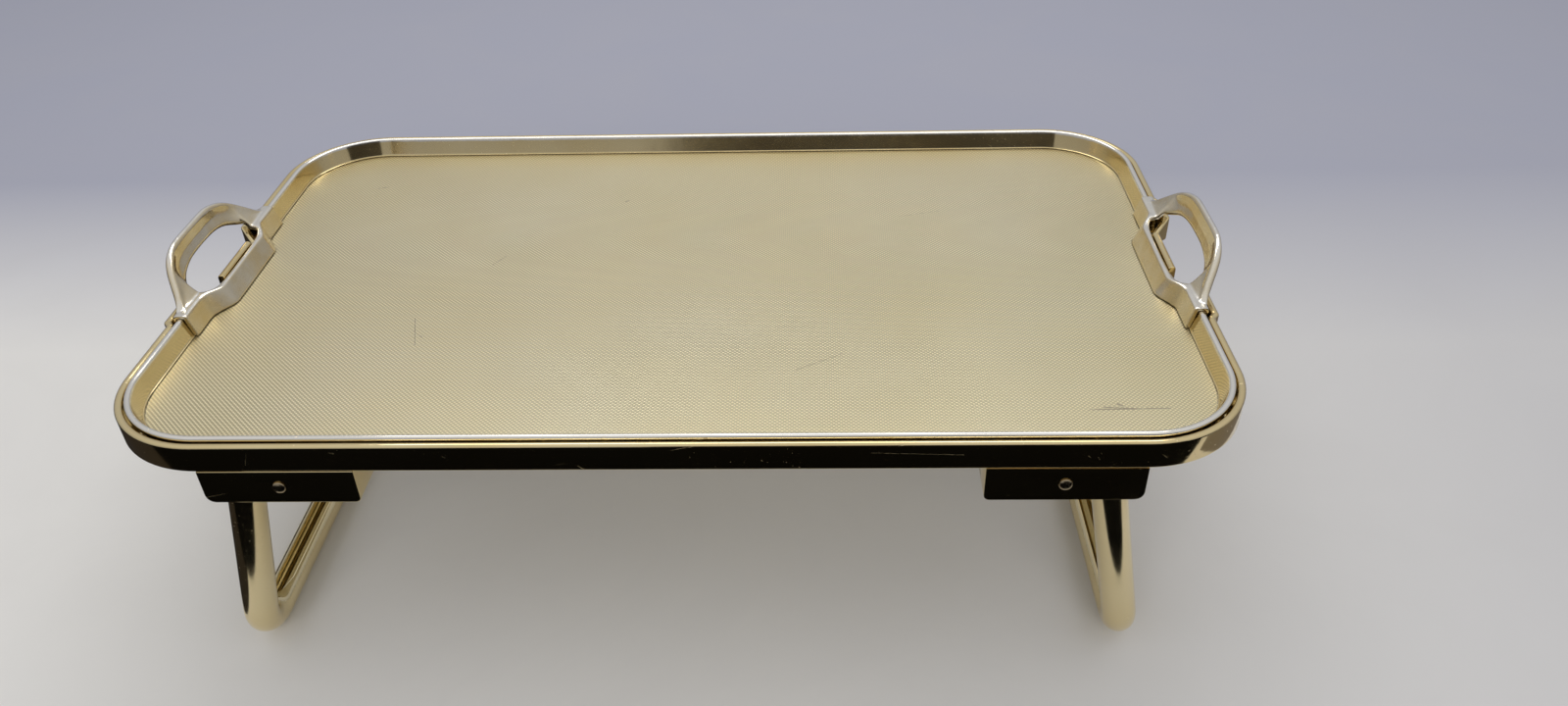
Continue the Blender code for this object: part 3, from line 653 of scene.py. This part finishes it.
def wall_section(y):
    """Handle wall from the floor up, top band and outer lip."""
    saddle = smooth_step((abs(y) - DISH_HALF) / SADDLE_BLEND)
    foot = foot_x(y)
    top = DISH_TOP + SADDLE_RISE * saddle
    blend = smooth_step((abs(y) - DISH_HALF) / DISH_BLEND)
    inner = foot + WALL_LEAN - WALL_LEAN_LOST * blend
    if abs(y) < OPENING_HALF_Y:
        outer = OPENING_X - opening_reach(y)
    else:
        flare = smooth_step((abs(y) - OPENING_HALF_Y) / CHEEK_BLEND)
        outer = OPENING_X + CHEEK_FLARE * flare
    lip = top - 2.6 - 2.0 * smooth_step((abs(y) - 44.0) / 5.0)
    under = top - 2.5 + 0.7 * smooth_step((abs(y) - 40.0) / 5.0)
    web = min(inner + 2.2, outer - 2.2)
    lip_in = max(outer - 1.8, web + 0.2)
    flat = [
        (foot - 1.1, OVER), (foot - 1.0, OVER + 0.3), (inner - 0.1, top - 1.1),
        (inner + 0.2, top - 0.5),
        (inner + 0.9, top - 0.1), (inner + 1.8, top), (outer - 1.6, top),
        (outer - 0.7, top - 0.15), (outer - 0.15, top - 0.6), (outer, top - 1.3),
        (outer, lip + 0.3), (outer - 0.3, lip), (lip_in, lip), (lip_in, under), (web, under),
        (foot + 2.0, OVER),
    ]
    return [Vector((x, y, z)) for x, z in flat]


def seat_section(y):
    """Flange of the handle wall that goes down past the floor and turns in under it."""
    foot = foot_x(y)
    low = SEAT - RIM_SHEET
    flat = [(foot + 0.5, OVER + 0.2), (foot + 1.9, OVER + 0.2), (foot + 2.0, low),
            (foot - 2.8, low), (foot - 2.8, SEAT), (foot + 0.5, SEAT)]
    return [Vector((x, y, z)) for x, z in flat]


def grip_edge(y):
    """Outer top edge of the grip."""
    share = min(1.0, abs(y) / GRIP_HALF)
    swell = 0.5 * (1.0 + math.cos(math.pi * share ** GRIP_ROUND))
    return Vector((GRIP_FOOT[0] + GRIP_REACH * swell, GRIP_FOOT[1] + GRIP_RISE * swell))


def grip_section(y):
    """Leaning strap of the grip, arched up over the finger opening."""
    if abs(y) < OPENING_HALF_Y:
        share = 0.5 * (1.0 + math.cos(math.pi * (abs(y) / STRAP_ARCH) ** 2.2))
        low = Vector((OPENING_X + opening_reach(y, 2.3) - 0.4 * share,
                      STRAP_ARCH_FOOT + STRAP_ARCH_RISE * share))
    else:
        low = Vector(STRAP_FOOT)
    high = grip_edge(y)
    corners = [low, high + Vector((-GRIP_THICK, -0.3)), high, low + Vector((3.1, -1.3))]
    rounded = []
    for i, corner in enumerate(corners):
        back = corners[i - 1] - corner
        ahead = corners[(i + 1) % 4] - corner
        rounded.append(corner + back * min(0.42, 1.3 / back.length))
        rounded.append(corner + (back * min(0.16, 0.5 / back.length)
                                 + ahead * min(0.16, 0.5 / ahead.length)) * 0.8)
        rounded.append(corner + ahead * min(0.42, 1.3 / ahead.length))
    along = (high - low).normalized()
    out = Vector((along.y, -along.x))
    inner_mid = (rounded[2] + rounded[3]) / 2.0 + out * 0.5
    outer_mid = (rounded[8] + rounded[9]) / 2.0 + out * 0.2
    flat = rounded[:3] + [inner_mid] + rounded[3:9] + [outer_mid] + rounded[9:]
    return [Vector((p.x, y, p.y)) for p in flat]


def bead_section(y):
    """Round bead along the grip's top edge, fuller where the grip turns down."""
    fuller = smooth_step((abs(y) - 18.0) / 16.0) * smooth_step((GRIP_HALF - abs(y)) / 14.0)
    fade = 0.35 + 0.65 * smooth_step((STRAP_HALF - abs(y)) / 9.0)
    radius = (BEAD_RADIUS + BEAD_SWELL * fuller) * fade
    centre = grip_edge(y) - Vector((radius, radius))
    return [Vector((x, y, z)) for x, z in arc(centre, (radius, radius), 0.0, 345.0, 23)]


def rows(half, steps, extra=()):
    values = {round(half * k / steps, 3) for k in range(-steps, steps + 1)}
    for value in extra:
        values.update((value, -value))
    return sorted(values)


def build_handle(side, name, materials):
    """Remesh the wall and the strap into one casting, then round it off."""
    turn = Vector((side, side, 1.0))
    edge = (OPENING_HALF_Y - 0.1, OPENING_HALF_Y - 0.02, OPENING_HALF_Y + 0.15)
    walls = [[v * turn for v in wall_section(y)] for y in rows(HANDLE_HALF, 84, edge)]
    straps = [[v * turn for v in grip_section(y)] for y in rows(STRAP_HALF, 78, edge)]
    beads = [[v * turn for v in bead_section(y)] for y in rows(BEAD_HALF, 90)]
    body = mesh_object(name + "_casting", loft(walls))
    bm = bmesh.new()
    bm.from_mesh(body.data)
    for rings in (straps, beads):
        extra = mesh_object("extra", loft(rings))
        bm.from_mesh(extra.data)
        bpy.data.objects.remove(extra, do_unlink=True)
    bm.to_mesh(body.data)
    bm.free()
    remesh = body.modifiers.new("skin", "REMESH")
    remesh.mode = "VOXEL"
    remesh.voxel_size = CAST_VOXEL * MM
    apply_modifiers(body)
    # The webs where the strap meets the wall are smoothed far more than the rest.
    webs = body.vertex_groups.new(name="webs")
    for vert in body.data.vertices:
        reach = abs(vert.co.y) / MM
        inside = smooth_step((reach - 20.0) / 9.0) * smooth_step((55.0 - reach) / 10.0)
        inside *= smooth_step((abs(vert.co.x) / MM - 274.0) / 5.0)
        inside *= smooth_step((vert.co.z / MM - LIP_TOP + 1.0) / 2.0)
        webs.add([vert.index], inside, "REPLACE")
    for group, times in (("webs", WEB_SMOOTHING), ("", CAST_SMOOTHING)):
        relax = body.modifiers.new("relax", "SMOOTH")
        relax.factor = 0.5
        relax.iterations = times
        relax.vertex_group = group
    apply_modifiers(body)
    body.vertex_groups.clear()
    dress(body, (materials["cast"],), "tray", [name], 60.0)
    seats = [[v * turn for v in seat_section(y)] for y in rows(HANDLE_HALF - 0.05, 60)]
    seat = mesh_object(name + "_seat", loft(seats))
    # The seat takes the dark painted shade.
    return dress(seat, (materials["inside"],), "tray", [name])


# ------------------------------------------------------------------ stand

def leg_frame(sx):
    down = Vector((sx * math.sin(LEG_SPLAY), 0.0, -math.cos(LEG_SPLAY)))
    inboard = Vector((-sx * math.cos(LEG_SPLAY), 0.0, -math.sin(LEG_SPLAY)))
    level = Vector((sx * (PIVOT_X + PIVOT_OFFSET), 0.0, PIVOT_Z))
    return level, down, inboard


def leg_section(seam):
    """Open tube section as (inside, inboard) pairs, and how many of them are outside."""
    outer = LEG_TUBE / 2.0
    inner = outer - LEG_WALL
    gap = math.asin(seam / 2.0 / outer)
    shown = []
    for k in range(TUBE_POINTS):
        angle = gap + 0.05 + (2.0 * math.pi - 2.0 * gap - 0.1) * k / (TUBE_POINTS - 1)
        shown.append((outer * math.cos(angle), outer * math.sin(angle)))
    edge = outer - 0.4
    shown.append((edge * math.cos(gap), -edge * math.sin(gap)))
    gap_in = gap * outer / inner
    back = []
    for k in range(BORE_POINTS):
        share = k / (BORE_POINTS - 1)
        angle = 2.0 * math.pi - gap_in - (2.0 * math.pi - 2.0 * gap_in) * share
        back.append((inner * math.cos(angle), inner * math.sin(angle)))
    return shown, back + [(edge * math.cos(gap), edge * math.sin(gap))]


def build_leg(sx, end, materials):
    """Round tube bent to a U, its open seam inside the U closing up at the bends."""
    level, down, inboard = leg_frame(sx)
    outer = LEG_TUBE / 2.0
    rise = BRACKET_TOP - BRACKET_SHEET - 0.4
    top = (PIVOT_Z - rise + outer * math.sin(LEG_SPLAY)) / math.cos(LEG_SPLAY)
    length = (LIP_TOP + PIVOT_Z - outer - LEG_FOOT_CLEAR) / math.cos(LEG_SPLAY)
    runs = [LEG_BEND + LEG_SEAM_RUN * k / 8.0 for k in range(1, 9)]
    half = [(LEG_HALF_SPAN, top, 0.0)]
    half += [(LEG_HALF_SPAN, length - run, 0.0) for run in reversed(runs)]
    half += [(LEG_HALF_SPAN, length, LEG_BEND)]
    half += [(LEG_HALF_SPAN - run, length, 0.0) for run in runs]
    path = filleted(half + [(-y, along, radius) for y, along, radius in reversed(half)],
                    closed=False)
    rings = []
    for point, normal in zip(path, inward(path, closed=False)):
        inside = Vector((0.0, normal.x, 0.0)) + down * normal.y
        centre = level + Vector((0.0, point.x, 0.0)) + down * point.y
        clear = max(LEG_HALF_SPAN - LEG_BEND - abs(point.x), length - LEG_BEND - point.y)
        share = min(1.0, max(0.0, clear / LEG_SEAM_RUN)) ** 0.6
        shown, back = leg_section(LEG_SEAM_CLOSED + (LEG_SEAM - LEG_SEAM_CLOSED) * share)
        rings.append([centre + inside * a + inboard * b for a, b in shown + back])
    # The tube's bore takes the dark painted shade.
    hidden = range(len(shown), len(shown) + len(back) - 1)
    piece = mesh_object("leg_%s_tube" % end, loft(rings, hidden=hidden))
    return dress(piece, (materials["leg"], materials["inside"]), end + "_leg",
                 ["leg_" + end])


def refined(name, bevel, material, body):
    """Copy of a pressed CAD part with its cut edges rounded."""
    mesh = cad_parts[name].data.copy()
    piece = bpy.data.objects.new(name + "_part", mesh)
    bpy.context.scene.collection.objects.link(piece)
    bm = bmesh.new()
    bm.from_mesh(mesh)
    bmesh.ops.remove_doubles(bm, verts=bm.verts, dist=1e-6)
    bmesh.ops.dissolve_limit(bm, angle_limit=math.radians(1.0), verts=bm.verts,
                             edges=bm.edges)
    bm.to_mesh(mesh)
    bm.free()
    edge = piece.modifiers.new("edge", "BEVEL")
    edge.width = bevel * MM
    edge.segments = 3
    edge.limit_method = "ANGLE"
    edge.angle_limit = math.radians(50.0)
    apply_modifiers(piece)
    return dress(piece, (material,), body, [name], 40.0)


def turned(name, profile, centre, axis, segments=36):
    """Solid turned from (radius, distance) pairs about the y or z axis through a point."""
    rings = []
    for radius, along in profile:
        ring = []
        for k in range(segments):
            angle = 2.0 * math.pi * k / segments
            a, b = radius * math.cos(angle), radius * math.sin(angle)
            offset = (a, along, b) if axis == "y" else (a, b, along)
            ring.append(Vector(centre) + Vector(offset))
        rings.append(ring)
    return mesh_object(name, loft(rings))


def dome(radius, height, base, way, steps=8):
    """Profile of a rivet head from its rim to near its crown."""
    points = [(radius * HEAD_UNDERCUT, base)]
    for k in range(steps + 1):
        angle = math.radians(CROWN_ANGLE) * k / steps
        rise = HEAD_EDGE + (height - HEAD_EDGE) * math.sin(angle)
        points.append((radius * math.cos(angle), base + way * rise))
    return points


def build_pivot_rivet(sx, sy, tag, materials):
    front = HALF_Y + GAP
    back = HALF_Y - BRACKET_DEPTH - GAP
    profile = list(reversed(dome(PIVOT_HEAD, 1.5, back, -1.0)))
    profile += [(PIVOT_SHANK, back), (PIVOT_SHANK, front)]
    profile += dome(PIVOT_HEAD, 1.55, front - 0.25, 1.0)
    name = "pivot_rivet_" + tag
    piece = turned(name + "_head", [(r, sy * a) for r, a in profile],
                   (sx * PIVOT_X, 0.0, PIVOT_Z), "y")
    return dress(piece, (materials["rivet"],), "frame", [name])


def build_flange_rivet(name, x, y, materials):
    top = -BAND_HEIGHT + FRAME_SHEET + GAP
    low = BRACKET_TOP - BRACKET_SHEET - GAP
    profile = list(reversed(dome(FLANGE_HEAD, 1.0, low, -1.0)))
    profile += [(FLANGE_SHANK, low), (FLANGE_SHANK, top)]
    profile += dome(FLANGE_HEAD, 1.0, top, 1.0)
    piece = turned(name + "_head", profile, (x, y, 0.0), "z", 28)
    return dress(piece, (materials["rivet"],), "frame", [name])


def build_tube_rivet(name, sx, sy, along, end, materials):
    level, down = leg_frame(sx)[:2]
    centre = level + down * along
    centre.y = sy * LEG_HALF_SPAN
    inner = -PLATE_THICK / 2.0 - GAP
    outer = LEG_TUBE / 2.0 - 0.1
    profile = list(reversed(dome(TUBE_HEAD, 0.7, inner, -1.0)))
    profile += [(TUBE_SHANK, inner), (TUBE_SHANK, outer)]
    profile += dome(TUBE_HEAD, 0.85, outer, 1.0)
    piece = turned(name + "_head", [(r, sy * a) for r, a in profile], centre, "y", 28)
    return dress(piece, (materials["rivet"],), end + "_leg", [name])


def build_stand(materials):
    for sx, end in ENDS:
        build_leg(sx, end, materials)
        for sy, face in FACES:
            tag = end + "_" + face
            refined("bracket_" + tag, BRACKET_EDGE, materials["bracket"], "frame")
            refined("hinge_plate_" + tag, PLATE_EDGE, materials["plate"], end + "_leg")
            for part in ("outer", "inner"):
                refined("spacer_%s_%s" % (tag, part), SPACER_EDGE, materials["plate"],
                        "frame")
            build_pivot_rivet(sx, sy, tag, materials)
            for k, x in enumerate(RIVET_XS):
                build_flange_rivet("flange_rivet_%s_%d" % (tag, k + 1), sx * x,
                                   sy * (HALF_Y - RIVET_INSET), materials)
            for k, along in enumerate(TUBE_RIVETS):
                build_tube_rivet("tube_rivet_%s_%d" % (tag, k + 1), sx, sy, along, end,
                                 materials)


# ------------------------------------------------------------------ studio

def stage_material(name, colour, rough):
    material = bpy.data.materials.new(name)
    material.use_nodes = True
    shader = material.node_tree.nodes["Principled BSDF"]
    shader.inputs["Base Color"].default_value = colour
    shader.inputs["Roughness"].default_value = rough
    shader.inputs["Specular IOR Level"].default_value = 0.0
    return material


def card(name, centre, size, rotation, material, seen):
    """Flat stage card; a card that isn't seen only shows in reflections."""
    bm = bmesh.new()
    bmesh.ops.create_grid(bm, x_segments=1, y_segments=1, size=0.5)
    made = mesh_object(name, bm)
    made.scale = (size[0], size[1], 1.0)
    made.rotation_euler = rotation
    made.location = centre
    made.data.materials.append(material)
    if not seen:
        made.visible_camera = False
        made.visible_diffuse = False
        made.visible_shadow = False
    return made


def floor_material():
    """Pale floor with painted light and shade: light and warm round the table, greyer to the right,
    darker and cooler beyond it.
    """
    material = stage_material("pale_floor", (0.6, 0.6, 0.6, 1.0), 0.4)
    tree = material.node_tree
    shader = tree.nodes["Principled BSDF"]
    where = node(tree, "ShaderNodeTexCoord").outputs["Object"]
    parts = node(tree, "ShaderNodeSeparateXYZ", {0: where})
    # Painted light and shade: the floor colour is graded lighter near the table and darker to the
    # right and beyond.
    painted_shade_aside = ramp(tree, parts.outputs["X"], 0.05, 0.55)
    near = mix_colour(tree, painted_shade_aside, (0.82, 0.81, 0.785, 1.0), (0.64, 0.635, 0.64, 1.0))
    painted_shade_far = ramp(tree, parts.outputs["Y"], 0.12, 0.40)
    colour = mix_colour(tree, painted_shade_far, near, (0.42, 0.43, 0.51, 1.0))
    veins = ramp(tree, cloud(tree, where, 5.0, 6.0, 0.6, distort=1.2), 0.35, 0.8, 0.0, 0.12)
    colour = mix_colour(tree, veins, colour, (0.52, 0.50, 0.49, 1.0))
    tree.links.new(colour, shader.inputs["Base Color"])
    return material


def area_light(name, centre, target, size, power, colour):
    data = bpy.data.lights.new(name, "AREA")
    data.shape = "RECTANGLE"
    data.size, data.size_y = size
    data.energy = power
    data.color = colour
    lamp = bpy.data.objects.new(name, data)
    lamp.location = centre
    lamp.rotation_mode = "QUATERNION"
    lamp.rotation_quaternion = (Vector(target) - Vector(centre)).to_track_quat("-Z", "Y")
    bpy.context.scene.collection.objects.link(lamp)
    return lamp


def build_world():
    """Even pale surround, brighter overhead."""
    world = bpy.data.worlds.new("studio")
    bpy.context.scene.world = world
    world.use_nodes = True
    tree = world.node_tree
    shader = tree.nodes["Background"]
    where = node(tree, "ShaderNodeTexCoord").outputs["Generated"]
    parts = node(tree, "ShaderNodeSeparateXYZ", {0: where})
    up = ramp(tree, parts.outputs["Z"], 0.0, 0.9)
    colour = mix_colour(tree, up, (0.30, 0.305, 0.33, 1.0), (0.66, 0.66, 0.67, 1.0))
    tree.links.new(colour, shader.inputs["Color"])
    shader.inputs["Strength"].default_value = 1.0


def build_studio():
    level = (0.0, 0.0, 0.0)
    upright = (math.radians(-90.0), 0.0, 0.0)
    floor = card("pale_floor", (0.0, 0.0, FLOOR_Z), (1.0, 1.0), level, floor_material(), True)
    floor.data.transform(Matrix.Diagonal(FLOOR_SIZE + (1.0, 1.0)))
    floor.data.transform(Matrix.Translation((0.0, FLOOR_SHIFT, 0.0)))
    black = stage_material("black_card", (0.004, 0.004, 0.004, 1.0), 1.0)
    dim = stage_material("dim_card", (0.08, 0.075, 0.07, 1.0), 1.0)
    brown = stage_material("brown_card", (0.035, 0.03, 0.027, 1.0), 1.0)
    grey = stage_material("grey_card", (0.20, 0.18, 0.16, 1.0), 1.0)
    card("black_card_front", (0.2, -1.232, CARD_Z), (4.0, 2.016), level, black, False)
    card("brown_card_left", (-1.122, 0.105, CARD_Z), (1.7, 0.66), level, brown, False)
    card("grey_card_right", (0.9, 0.02, CARD_Z), (1.0, 0.44), level, grey, False)
    card("dim_card_upright", (1.05, -2.2, 0.55), (2.7, 1.1), upright, dim, False)
    area_light("top_softbox", (0.0, 0.85, 1.45), (0.0, 0.0, 0.1), (1.5, 0.5), 6.4,
               (1.0, 0.985, 0.96))
    fill = area_light("front_fill", (0.0, -2.0, 1.15), (0.0, 0.0, 0.0), (2.0, 1.0), 15.0,
                      (1.0, 0.97, 0.93))
    fill.visible_glossy = False
    build_world()


def build_camera():
    yaw, pitch, roll = (math.radians(CAMERA_YAW), math.radians(CAMERA_PITCH),
                        math.radians(CAMERA_ROLL))
    level_forward = Vector((math.sin(yaw), math.cos(yaw), 0.0))
    level_right = Vector((math.cos(yaw), -math.sin(yaw), 0.0))
    upward = Vector((0.0, 0.0, 1.0))
    forward = math.cos(pitch) * level_forward - math.sin(pitch) * upward
    above = math.sin(pitch) * level_forward + math.cos(pitch) * upward
    right = math.cos(roll) * level_right + math.sin(roll) * above
    top = -math.sin(roll) * level_right + math.cos(roll) * above
    data = bpy.data.cameras.new("view_camera")
    data.lens = CAMERA_LENS
    data.sensor_width = CAMERA_SENSOR
    data.sensor_fit = "HORIZONTAL"
    data.clip_start = 0.01
    data.clip_end = 50.0
    camera = bpy.data.objects.new("view_camera", data)
    turn = Matrix((right, top, -forward)).transposed()
    place = Vector(CAMERA_PLACE) + Vector((0.0, 0.0, LIP_TOP * MM))
    camera.matrix_world = Matrix.Translation(place) @ turn.to_4x4()
    bpy.context.scene.collection.objects.link(camera)
    bpy.context.scene.camera = camera


def main():
    materials = make_materials()
    build_camera()
    build_studio()
    build_band(materials)
    build_rim(-1.0, "rim_front", materials)
    build_rim(1.0, "rim_back", materials)
    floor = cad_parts["tray_floor"]
    floor.data.materials.clear()
    floor.data.materials.append(materials["floor"])
    for side, end in ENDS:
        build_handle(side, "handle_" + end, materials)
    build_stand(materials)
    bpy.context.scene.view_settings.view_transform = "Standard"


main()
